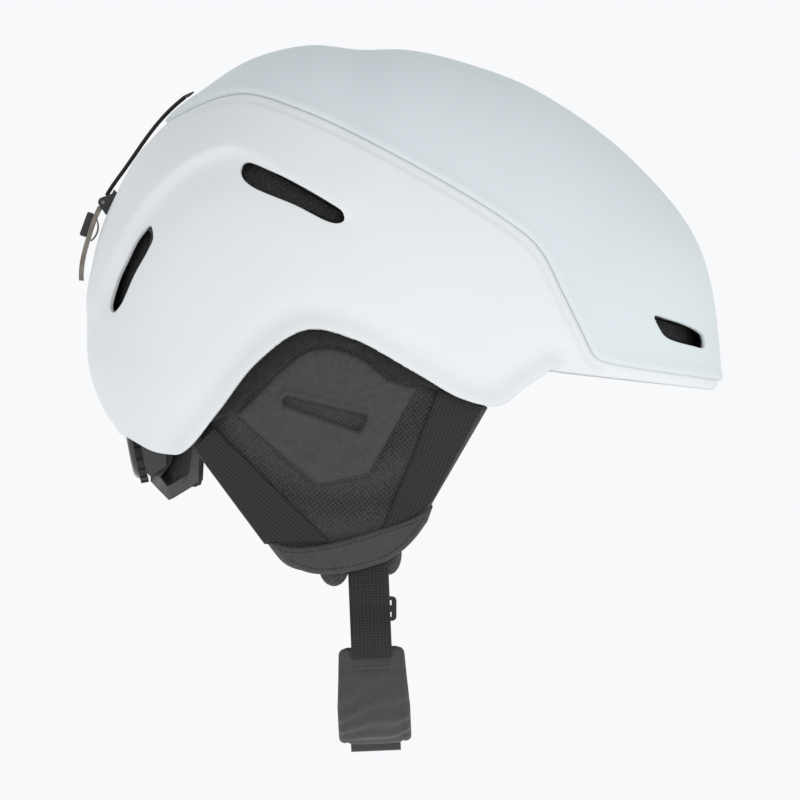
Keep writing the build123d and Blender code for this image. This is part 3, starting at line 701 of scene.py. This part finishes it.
def pillow_profile(d, radius):
    """Quarter-round rise from 0 at an edge to 1 at a distance."""
    s = np.clip(d / radius, 0, 1)
    return np.sqrt(np.clip(1 - (1 - s) ** 2, 0, 1))


def flat_grid(poly, step):
    """A grid that covers a side-view outline."""
    lo, hi = poly.min(0) - step, poly.max(0) + step
    return grid(np.arange(lo[0], hi[0] + step, step), np.arange(lo[1], hi[1] + step, step))


def patch(name, poly, side, base, thick, radius, material, step=0.8, holes=(), lift=None):
    """A thin soft layer on the pad's face, rounded down at its edges."""
    params, faces = flat_grid(poly, step)
    params, faces = clip(params, faces, lambda p: inside(p, poly))
    for hole in holes:
        params, faces = clip(params, faces, lambda p, h=hole: -inside(p, h))
    d = inside(params, poly)
    for hole in holes:
        d = np.minimum(d, -inside(params, hole))
    off = base + thick * pillow_profile(d, radius)
    if lift is not None:
        off = off + lift(params, d)
    y = ear_face(params, off=off)
    points = np.column_stack([params[:, 0], side * y, params[:, 1]])
    if side > 0:
        faces = [f[::-1] for f in faces]
    return mesh_object(name, points, faces, material, uv=params)


def pillow(name, poly, side, outer, inner, radius, material, step=1.4):
    """A closed soft body between two faces, swelling from its outline."""
    params, faces = flat_grid(poly, step)
    params, faces = clip(params, faces, lambda p: inside(p, poly))
    d = np.clip(inside(params, poly), 0, None)
    f = pillow_profile(d, radius)
    a, b = outer(params), inner(params)
    mid, half = (a + b) / 2, (a - b) / 2
    n = len(params)
    front = np.column_stack([params[:, 0], side * (mid + half * f), params[:, 1]])
    back = np.column_stack([params[:, 0], side * (mid - half * f), params[:, 1]])
    back_faces = [tuple(i + n for i in f[::-1]) for f in faces]
    if side > 0:
        faces, back_faces = [f[::-1] for f in faces], [f[::-1] for f in back_faces]
    obj = mesh_object(name, np.vstack([front, back]), faces + back_faces, material,
                      uv=np.vstack([params, params]))
    weld = obj.modifiers.new("weld", "WELD")
    weld.merge_threshold = 0.00002
    apply_modifiers(obj)
    return obj


def tube(name, rows, radius, material, sides=6):
    """Round threads along rows of 3D points, in one mesh."""
    points, faces = [], []
    for line in rows:
        line = np.asarray(line, float)
        if len(line) < 2:
            continue
        tangent = np.gradient(line, axis=0)
        tangent /= np.linalg.norm(tangent, axis=1)[:, None] + 1e-12
        ref = np.array([0.0, 1.0, 0.0]) if abs(tangent[0, 1]) < 0.9 else np.array([0.0, 0.0, 1.0])
        start = len(points)
        m = len(line)
        for k in range(m):
            u = np.cross(tangent[k], ref)
            u /= np.linalg.norm(u) + 1e-12
            v = np.cross(tangent[k], u)
            shrink = 0.45 if k in (0, m - 1) else 1.0
            for s in range(sides):
                a = 2 * math.pi * s / sides
                points.append(line[k] + radius * shrink * (math.cos(a) * u + math.sin(a) * v))
        faces += ring_faces(m, sides, start)
    return mesh_object(name, points, faces, material)


def resample(line, step):
    """The same line with points at even lengths."""
    line = np.asarray(line, float)
    size = np.linalg.norm(np.diff(line, axis=0), axis=1)
    at = np.concatenate([[0], np.cumsum(size)])
    count = max(int(at[-1] / step), 1)
    where = np.linspace(0, at[-1], count + 1)
    return np.column_stack([np.interp(where, at, line[:, k]) for k in range(line.shape[1])])


STITCH_STEP = 0.35


def stitch_rows(line, length=2.1, gap=0.8):
    """Splits a 3D line into stitches with gaps between them."""
    fine = resample(line, STITCH_STEP)
    per = int(round((length + gap) / STITCH_STEP))
    keep = int(round(length / STITCH_STEP))
    return [fine[k:k + keep + 1] for k in range(0, len(fine) - keep, per)]


def on_pad(line, side, off):
    """A side-view line laid on the pad's outer face."""
    y = ear_face(line, off=np.full(len(line), off))
    return np.column_stack([line[:, 0], side * y, line[:, 1]])


def polygon(*parts):
    """One outline from several lines."""
    return np.vstack([np.asarray(p, float) for p in parts])


# side-view outlines (x, z) of the pad, its panel and the binding along the shell
PAD_TOP = [(-55, -13), (-48.5, 0.2), (-31, 22), (-8, 36.8), (13, 33.2), (41.5, 18.6),
           (61.5, 7.8), (71.3, 2)]
PAD_LOW = [(48.4, -37.4), (41.4, -50), (29, -64.2), (4.4, -69.5), (-15.4, -67.3), (-26, -55.9)]
pad_poly = polygon(smooth_line(PAD_TOP, 10), smooth_line(PAD_LOW, 8))
PANEL_EDGE = [(-38.3, -0.9), (-29, 8.2), (-20.2, 17.2), (-7.9, 26.4), (3.1, 28), (16.7, 23.3),
              (29, 14.1), (40.9, 11)]
PANEL_LOW = [(30, -8), (19.4, -26.8), (-3.1, -31.2), (-20, -17)]
panel_poly = polygon(smooth_line(PANEL_EDGE, 8), smooth_line(PANEL_LOW[:2], 4),
                     smooth_line(PANEL_LOW[1:3], 4), smooth_line(PANEL_LOW[2:], 4))
BIND_OUT = [(-53, -6), (-49, 0.5), (-31.5, 22.8), (-8.5, 38), (13.5, 34.2), (41.8, 19.4),
            (60, 10.2)]
BIND_IN = [(56, 5.5), (44, 11.4), (30, 14.4), (18, 23.4), (4, 28.8), (-8, 27.4), (-21, 17.5),
           (-39.5, -0.4)]
bind_poly = polygon(smooth_line(BIND_OUT, 10), smooth_line(BIND_IN, 10))
slot_poly = round_hull([(-15.6, 5.4, 1.3), (-16.6, 4.6, 1.3), (17, -2.4, 1.4), (14.8, -6.7, 1.4)])


def wrinkles(params, d):
    """Soft creases of stretched cloth across a panel."""
    x, z = params.T
    w = 0.55 * np.sin(0.42 * (x * 0.5 + z) + 1.2 * np.sin(x / 13))
    w *= ease((z + 34) / 10) * ease(-(z - 6) / 18)
    w += 0.45 * np.sin(0.33 * (x - 1.2 * z) + 0.8) * ease(-(z + 6) / 16)
    turn = np.arctan2(z - 2, x)
    pucker = 0.7 * np.sin(turn * 34 + 2 * np.sin(turn * 5)) * np.exp(-d / 5) * ease((z - 4) / 8)
    return w * ease(d / 4) + pucker * ease(d / 1.5)


def around_slot(params, d):
    """Wrinkles of the panel, with a raised rim round the ear slot."""
    dist = -inside(params, slot_poly)
    rim = 1.3 * np.exp(-((dist - 1.7) / 1.2) ** 2)
    return wrinkles(params, d) + rim


def rough(params, _):
    """Uneven nap of the binding."""
    x, z = params.T
    return 0.18 * np.sin(1.7 * x + 2.1 * np.sin(1.1 * z)) * np.sin(1.5 * z + 1.3 * np.sin(0.9 * x))


def side_word(side):
    return "right" if side == RIGHT else "left"


def ear(side):
    """The pad itself, its smooth panel, the net in the ear slot and the fuzzy binding."""
    word = side_word(side)
    core = pillow(word + "_pad_body", pad_poly, side, lambda q: ear_face(q, off=np.zeros(len(q))),
                  lambda q: ear_face(q, ear_in_arc), radius=9, material=MESH)
    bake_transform(core)
    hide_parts(word + "_ear_pad_top", word + "_ear_flap")

    panel = patch(word + "_panel", panel_poly, side, base=-0.6, thick=2.4, radius=3.0, material=PANEL,
                  holes=[slot_poly], lift=around_slot)
    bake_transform(panel)
    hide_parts(word + "_ear_panel_top", word + "_ear_panel")

    net = patch(word + "_slot_net", slot_poly, side, base=-0.2, thick=0.3, radius=1.0,
                material=MESH, step=0.6)
    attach(net, word + "_flap")

    fuzz = patch(word + "_binding", bind_poly, side, base=-1.2, thick=2.6, radius=2.2,
                 material=BINDING, lift=rough)
    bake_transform(fuzz)
    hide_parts(word + "_ear_binding")


# side-view outlines of the two straps on the pad and of the band across their ends
REAR_WEB = [(-57.3, -15.3), (-48, -6.2), (-22, -32), (3.5, -57), (-26, -57.5)]
FRONT_WEB = [(49.7, 10.5), (70.2, 3), (59, -17), (47.6, -38.4), (40, -46), (24, -53), (36, -24)]
BAND_TOP = [(-25, -56), (-14, -58.8), (1.8, -57.2), (22.9, -51.3), (41.4, -44.4), (47.8, -39.6)]
BAND_LOW = [(45, -47.5), (39.5, -55), (33.2, -61), (26, -65.2), (8, -70), (-5.4, -70.2), (-16, -66.4)]
# lining lobes: middle (x, z), half width and half height
LOBES = [(4.2, -66.5, 6.8, 9.5), (28.2, -61.5, 5.6, 9.5)]
SEAM_IN = 2.2
rear_poly = polygon(REAR_WEB)
front_poly = polygon(FRONT_WEB)
band_poly = polygon(smooth_line(BAND_TOP, 8), smooth_line(BAND_LOW, 8))


def turned(params, degrees):
    """Side-view points turned about the origin."""
    a = math.radians(degrees)
    return np.column_stack([params[:, 0] * math.cos(a) + params[:, 1] * math.sin(a),
                            -params[:, 0] * math.sin(a) + params[:, 1] * math.cos(a)])


def set_uv(obj, uv):
    layer = obj.data.uv_layers[0]
    index = np.empty(len(obj.data.loops), int)
    obj.data.loops.foreach_get("vertex_index", index)
    layer.data.foreach_set("uv", uv[index].ravel())


def web_patch(name, poly, side, degrees, base, thick):
    """A flat strap on the pad's face, its weave turned to run along it."""
    obj = patch(name, poly, side, base, thick, radius=0.9, material=WEB)
    co = np.array([v.co for v in obj.data.vertices]) / MM
    set_uv(obj, turned(co[:, [0, 2]], degrees))
    return obj


def inset(line, amount):
    """A line moved sideways to its right."""
    d = np.gradient(line, axis=0)
    d /= np.linalg.norm(d, axis=1)[:, None] + 1e-12
    return line + amount * np.column_stack([d[:, 1], -d[:, 0]])


def straps_and_band(side):
    """Webbing and band on the pad's face, their stitches, and the lining's lobes below."""
    word = side_word(side)
    flap = word + "_flap"
    rear = web_patch(word + "_rear_webbing", rear_poly, side, degrees=50, base=-0.5, thick=2.0)
    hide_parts(word + "_rear_web")
    front = web_patch(word + "_front_webbing", front_poly, side, degrees=-22, base=-0.5, thick=2.2)
    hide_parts(word + "_front_web")
    for obj in (rear, front):
        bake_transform(obj)

    def folds(params, d):
        x, z = params.T
        return 0.25 * np.sin(0.5 * x + 0.25 * z + 1.5 * np.sin(x / 9)) * ease(d / 5)

    band = patch(word + "_band", band_poly, side, base=0.6, thick=2.4, radius=1.6, material=PANEL,
                 lift=folds)
    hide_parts(word + "_ear_band")
    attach(band, flap)

    rows = []
    top = inset(smooth_line(BAND_TOP, 10), SEAM_IN)
    low = inset(smooth_line(BAND_LOW, 10), SEAM_IN)
    for line in (top, low):
        line = resample(line, 0.5)
        rows += stitch_rows(on_pad(line[inside(line, band_poly) > 1], side, 3.05))
    seams = tube(word + "_band_thread", rows, 0.24, THREAD)
    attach(seams, flap)
    rows = []
    for k in range(3):
        line = resample(inset(np.array(PANEL_LOW[k:k + 2], float), -1.5), 0.5)
        rows += stitch_rows(on_pad(line, side, 0.32), 1.5, 0.8)
    line = resample(inset(smooth_line(BIND_IN, 8), -1.3), 0.5)
    rows += stitch_rows(on_pad(line, side, 1.25), 1.5, 0.8)
    seams = tube(word + "_panel_thread", rows, 0.2, THREAD)
    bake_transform(seams)
    # the inner lining shows as soft lobes under the band
    for k, (x, z, rx, rz) in enumerate(LOBES):
        a = np.linspace(0, 2 * math.pi, 30, endpoint=False)
        poly = np.column_stack([x + rx * np.cos(a), z + rz * np.sin(a)])
        lobe = pillow(word + "_lining_" + str(k + 1), poly, side,
                      lambda q: ear_face(q, off=np.full(len(q), -2.0)),
                      lambda q: ear_face(q, ear_in_arc, 2.0), radius=7, material=MESH)
        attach(lobe, flap)


for side in (RIGHT, LEFT):
    ear(side)
    straps_and_band(side)

# ------------------------ chin strap
# the swing line under the ear pads, the lean of the strap's plane, and the size of its loop
SWING_X, SWING_Z, LEAN = 18.6, -58, math.radians(2.4)
STRAP_Y, STRAP_DROP, STRAP_BEND = 77.2, 83.5, 46
STRAP_TOP = 9                 # the loop's ends stand this high over the swing line, in the pads
RIGHT_END, LEFT_END = 8, 27.5  # the two halves stop short of the middle, in the buckle
WEB_HALF, WEB_HALF_THICK, WEB_SQUARE = 8.75, 0.85, 5
WEB_STEP = 0.9
WHOLE = 1000                  # a length past the end of any line
ORIGIN = np.array([SWING_X, 0, SWING_Z])
UP = np.array([-math.sin(LEAN), 0, math.cos(LEAN)])
ACROSS = np.array([math.cos(LEAN), 0, math.sin(LEAN)])


def loop_line(side, start, end):
    """The strap's middle line in its plane: (y, height over the swing line)."""
    centre_y, centre_u = STRAP_Y - STRAP_BEND, -STRAP_DROP + STRAP_BEND
    pts = [(STRAP_Y, u) for u in np.linspace(start, centre_u, 30)]
    pts += [(centre_y + STRAP_BEND * math.cos(a), centre_u - STRAP_BEND * math.sin(a))
            for a in np.linspace(0, math.pi / 2, 50)[1:]]
    stop = side * end
    pts += [(y, -STRAP_DROP) for y in np.linspace(centre_y, stop, 30)[1:]]
    return np.array([(side * y, u) for y, u in pts])


def loop_sweep(name, line, half_width, half_thick, power, material, ends=0.0, lift=None, around=48,
               flare=0.0):
    """A closed band swept along the loop with a superellipse section.

    ends is the length over which it rounds off at both ends, lift(along, across, total) adds
    height, and flare widens it over the first 30 mm."""
    size = np.hypot(*np.diff(line, axis=0).T)
    along = np.concatenate([[0], np.cumsum(size)])
    total = along[-1]
    d = np.gradient(line, axis=0)
    d /= np.linalg.norm(d, axis=1)[:, None]
    out = np.column_stack([d[:, 1], -d[:, 0]])
    points, uv = [], []
    for k in range(len(line)):
        near = min(along[k], total - along[k])
        shrink = 1.0 if not ends else max(pillow_profile(near, ends), 0.02)
        for j in range(around):
            a = 2 * math.pi * j / around
            c, s = math.cos(a), math.sin(a)
            w = half_width * np.sign(c) * abs(c) ** (2 / power) * (0.75 + 0.25 * shrink)
            w *= 1 + flare * min(along[k] / 30, 1)
            t = half_thick * np.sign(s) * abs(s) ** (2 / power) * shrink
            if lift is not None:
                t += np.sign(s) * lift(along[k], w, total) * shrink
            yu = line[k] + out[k] * t
            points.append(ORIGIN + ACROSS * w + UP * yu[1] + np.array([0, yu[0], 0]))
            uv.append((w, along[k]))
    return mesh_object(name, points, ring_faces(len(line), around), material, uv=uv)


def cut_line(line, top, low):
    """Part of the loop line between two lengths from its start."""
    fine = resample(line, WEB_STEP)
    size = np.hypot(*np.diff(fine, axis=0).T)
    at = np.concatenate([[0], np.cumsum(size)])
    return fine[(at >= top) & (at <= low)]


def webbing(name, line):
    """A length of flat chin webbing along a line in the loop's plane."""
    return loop_sweep(name, line, WEB_HALF, WEB_HALF_THICK, WEB_SQUARE, WEB)


right_loop = loop_line(RIGHT, STRAP_TOP, RIGHT_END)
left_loop = loop_line(LEFT, STRAP_TOP, LEFT_END)

# the hanging length bends outward to lie on the chin pad, where it ends in two rows of stitches
HANG_LOW, PAD_OUT, PAD_BEND_TOP, PAD_BEND_LONG = -50.5, 4.3, -24, 16
hanging = resample(right_loop[right_loop[:, 1] > HANG_LOW], WEB_STEP)
hanging[:, 0] -= PAD_OUT * ease((PAD_BEND_TOP - hanging[:, 1]) / PAD_BEND_LONG)
right_strap = webbing("right_webbing", hanging)
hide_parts("right_strap_web")
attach(right_strap, "right_strap")
TAIL_START = 90
tail = webbing("right_webbing_tail", cut_line(right_loop, TAIL_START, WHOLE))
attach(tail, "right_strap")
left_strap = webbing("left_webbing", resample(left_loop, WEB_STEP))
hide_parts("left_strap_web")
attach(left_strap, "left_strap")


def pad_folds(along, w, total):
    """Creases of the chin pad's cloth, with a sewn channel near each end and a seam at each side."""
    crease = 0.5 * math.sin(along * 0.55 + 0.25 * w + 1.6 * math.sin(w / 5 + along / 17))
    channel = -0.9 * math.exp(-((along - 9.5) / 1.3) ** 2)
    channel -= 0.7 * math.exp(-((along - total + 9) / 1.5) ** 2)
    side_seam = -0.6 * math.exp(-((abs(w) - 12.2) / 0.9) ** 2)
    return crease * ease(along / 14) + channel + side_seam


CHIN_TOP, CHIN_PAST_MIDDLE = 43.5, 4
CHIN_HALF, CHIN_HALF_THICK, CHIN_SQUARE = 14.2, 3.9, 3.4
chin_line = cut_line(right_loop, STRAP_TOP + CHIN_TOP, WHOLE)[:-6]
chin_line = chin_line[chin_line[:, 0] < CHIN_PAST_MIDDLE]
chin = loop_sweep("chin_cushion", chin_line, CHIN_HALF, CHIN_HALF_THICK, CHIN_SQUARE, PANEL,
                  ends=3.4, lift=pad_folds, around=72, flare=0.12)
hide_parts("chin_pad")
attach(chin, "right_strap")


def strap_row(u, half, y_off):
    """A row of stitches across the strap at a height under the swing line."""
    w = np.linspace(-half, half, 60)
    return [ORIGIN + ACROSS * k + UP * u + np.array([0, y_off, 0]) for k in w]


# rows of stitches: height under the swing line, half length, and how far out of the strap's plane
STRAP_ROWS = [(-16.5, 7.6, 1), (-18.3, 7.6, 1), (-52.6, 8.6, 4.2), (-54.6, 8.6, 4.2)]
rows = []
for u, half, out in STRAP_ROWS:
    rows += stitch_rows(strap_row(u, half, -STRAP_Y - out), 1.6, 0.7)
seams = tube("right_strap_thread", rows, 0.2, THREAD)
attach(seams, "right_strap")

# ------------------------ inner pads
CLOTH_STEPS, CLOTH_PRESSURE, CLOTH_STIFF = 20, 4, 15
VOXEL, SWELL_CAP = 0.0025, 0.0009     # metres


def swollen(node, body):
    """A soft copy of a plain pad: remeshed, puffed up by a cloth simulation, then smoothed."""
    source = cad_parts[node]
    obj = source.copy()
    obj.data = source.data.copy()
    obj.name = node + "_cushion"
    obj.hide_render = False
    obj.hide_viewport = False
    obj.parent = None
    obj.matrix_world = source.matrix_world.copy()
    bpy.context.scene.collection.objects.link(obj)
    obj.data.materials.clear()
    obj.data.materials.append(KNIT)
    remesh = obj.modifiers.new("remesh", "REMESH")
    remesh.mode = "VOXEL"
    remesh.voxel_size = VOXEL
    remesh.use_smooth_shade = True
    apply_modifiers(obj)
    before = np.array([v.co for v in obj.data.vertices])
    cloth = obj.modifiers.new("cloth", "CLOTH")
    cloth.settings.use_pressure = True
    cloth.settings.uniform_pressure_force = CLOTH_PRESSURE
    cloth.settings.effector_weights.gravity = 0
    cloth.settings.tension_stiffness = CLOTH_STIFF
    cloth.settings.compression_stiffness = CLOTH_STIFF
    cloth.point_cache.frame_start = 1
    cloth.point_cache.frame_end = CLOTH_STEPS
    for step in range(1, CLOTH_STEPS + 1):
        bpy.context.scene.frame_set(step)
    apply_modifiers(obj)
    bpy.context.scene.frame_set(1)
    after = np.array([v.co for v in obj.data.vertices])
    move = after - before
    far = np.linalg.norm(move, axis=1)[:, None]
    after = before + move * np.minimum(1, SWELL_CAP / np.maximum(far, 1e-9))
    obj.data.vertices.foreach_set("co", after.ravel())
    obj.data.update()
    smooth = obj.modifiers.new("smooth", "SUBSURF")
    smooth.levels = smooth.render_levels = 1
    apply_modifiers(obj)
    for p in obj.data.polygons:
        p.use_smooth = True
    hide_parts(node)
    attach(obj, body)


for node, body in (("brow_pad", "shell"), ("crown_pad", "shell"), ("right_side_pad", "shell"),
                   ("left_side_pad", "shell"), ("nape_pad", "cradle")):
    swollen(node, body)


# the wing pads: ends in plan (x, |y|), length, half height, half thickness and middle height
WING_START, WING_END, WING_LONG = (-63.5, 34.0), (-55.5, 47.5), 15.7
WING_HALF, WING_HALF_THICK, WING_Z = 10.2, 1.5, -22.6
WING_RINGS, WING_AROUND, WING_ROUND = 19, 32, 2.5


def wing_pad(side):
    """A thin pad that goes on from the nape pad, behind the window in the cradle's wing."""
    start, end = np.array(WING_START) * (1, side), np.array(WING_END) * (1, side)
    way = (end - start) / np.linalg.norm(end - start)
    out = np.array([way[1], -way[0]])
    points = []
    for k in range(WING_RINGS):
        f = k / (WING_RINGS - 1)
        shrink = max(pillow_profile(min(f, 1 - f) * WING_LONG, WING_ROUND), 0.02)
        for j in range(WING_AROUND):
            a = 2 * math.pi * j / WING_AROUND
            c, s = math.cos(a), math.sin(a)
            high = WING_HALF * np.sign(c) * abs(c) ** 0.5 * (0.85 + 0.15 * shrink)
            thick = WING_HALF_THICK * np.sign(s) * abs(s) ** 0.7 * shrink
            xy = start + way * f * WING_LONG + out * thick
            points.append((xy[0], xy[1], WING_Z + high))
    obj = mesh_object(side_word(side) + "_wing_pad", points, ring_faces(WING_RINGS, WING_AROUND), KNIT)
    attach(obj, "cradle")


for side in (RIGHT, LEFT):
    wing_pad(side)

# ------------------------ stage
FLOOR_SIZE, FLOOR_Z, FLOOR_GLOW = 8, -0.42, 0.42
floor_paper = Nodes("floor_paper")
paper = floor_paper.ramp(floor_paper.noise(6, 2), (0.3, grey(0.78)), (0.7, grey(0.8)))
floor_paper.set(Base_Color=paper, Roughness=0.9)
# the floor paper glows: painted light that brightens the floor and the light it throws up onto the helmet
floor_paper.set(Emission_Color=(1, 1, 1, 1), Emission_Strength=FLOOR_GLOW)
bpy.ops.mesh.primitive_plane_add(size=FLOOR_SIZE, location=(0, 0, FLOOR_Z))
floor = bpy.context.object
floor.name = "floor"
floor.data.materials.append(floor_paper.mat)

# the studio's light falls off towards the ceiling
world = bpy.data.worlds.new("studio")
bpy.context.scene.world = world
world.use_nodes = True
tree = world.node_tree
place = tree.nodes.new("ShaderNodeTexCoord")
parts = tree.nodes.new("ShaderNodeSeparateXYZ")
sky = tree.nodes.new("ShaderNodeValToRGB")
stretch = tree.nodes.new("ShaderNodeMapRange")
stretch.inputs["From Min"].default_value = -1
tree.links.new(place.outputs["Generated"], parts.inputs[0])
tree.links.new(parts.outputs["Z"], stretch.inputs["Value"])
tree.links.new(stretch.outputs[0], sky.inputs[0])
tree.links.new(sky.outputs[0], tree.nodes["Background"].inputs[0])
SKY_STOPS = [(0.0, (1.0, 1.0, 1.0)), (0.52, (0.939, 0.947, 0.965)), (0.75, (0.72, 0.745, 0.76)),
             (1.0, (0.5, 0.53, 0.545))]
while len(sky.color_ramp.elements) < len(SKY_STOPS):
    sky.color_ramp.elements.new(0.5)
for element, (at, colour) in zip(sky.color_ramp.elements, SKY_STOPS):
    element.position = at
    element.color = (*colour, 1)
bpy.context.scene.view_settings.view_transform = "Standard"


def area_light(name, place, target, size, power):
    data = bpy.data.lights.new(name, "AREA")
    data.shape = "RECTANGLE"
    data.size, data.size_y = size
    data.energy = power
    lamp = bpy.data.objects.new(name, data)
    lamp.location = place
    lamp.rotation_euler = (Vector(target) - Vector(place)).to_track_quat("-Z", "Y").to_euler()
    bpy.context.scene.collection.objects.link(lamp)


area_light("key", (0.6, -1.4, 0.1), (0, 0, 0), (0.9, 1.4), 4)

# a long lens, level with the ear canals and square to the right side (metres)
VIEW_WIDE, VIEW_X, VIEW_Z = 0.352, 0.033, 0.0053
camera = bpy.data.cameras.new("camera")
camera.sensor_width = 36
camera.lens = 600
cam = bpy.data.objects.new("camera", camera)
bpy.context.scene.collection.objects.link(cam)
distance = VIEW_WIDE * camera.lens / camera.sensor_width
cam.location = (VIEW_X, -distance - 0.02, VIEW_Z)
cam.rotation_euler = (math.radians(90), 0, 0)
camera.clip_end = 50
bpy.context.scene.camera = cam
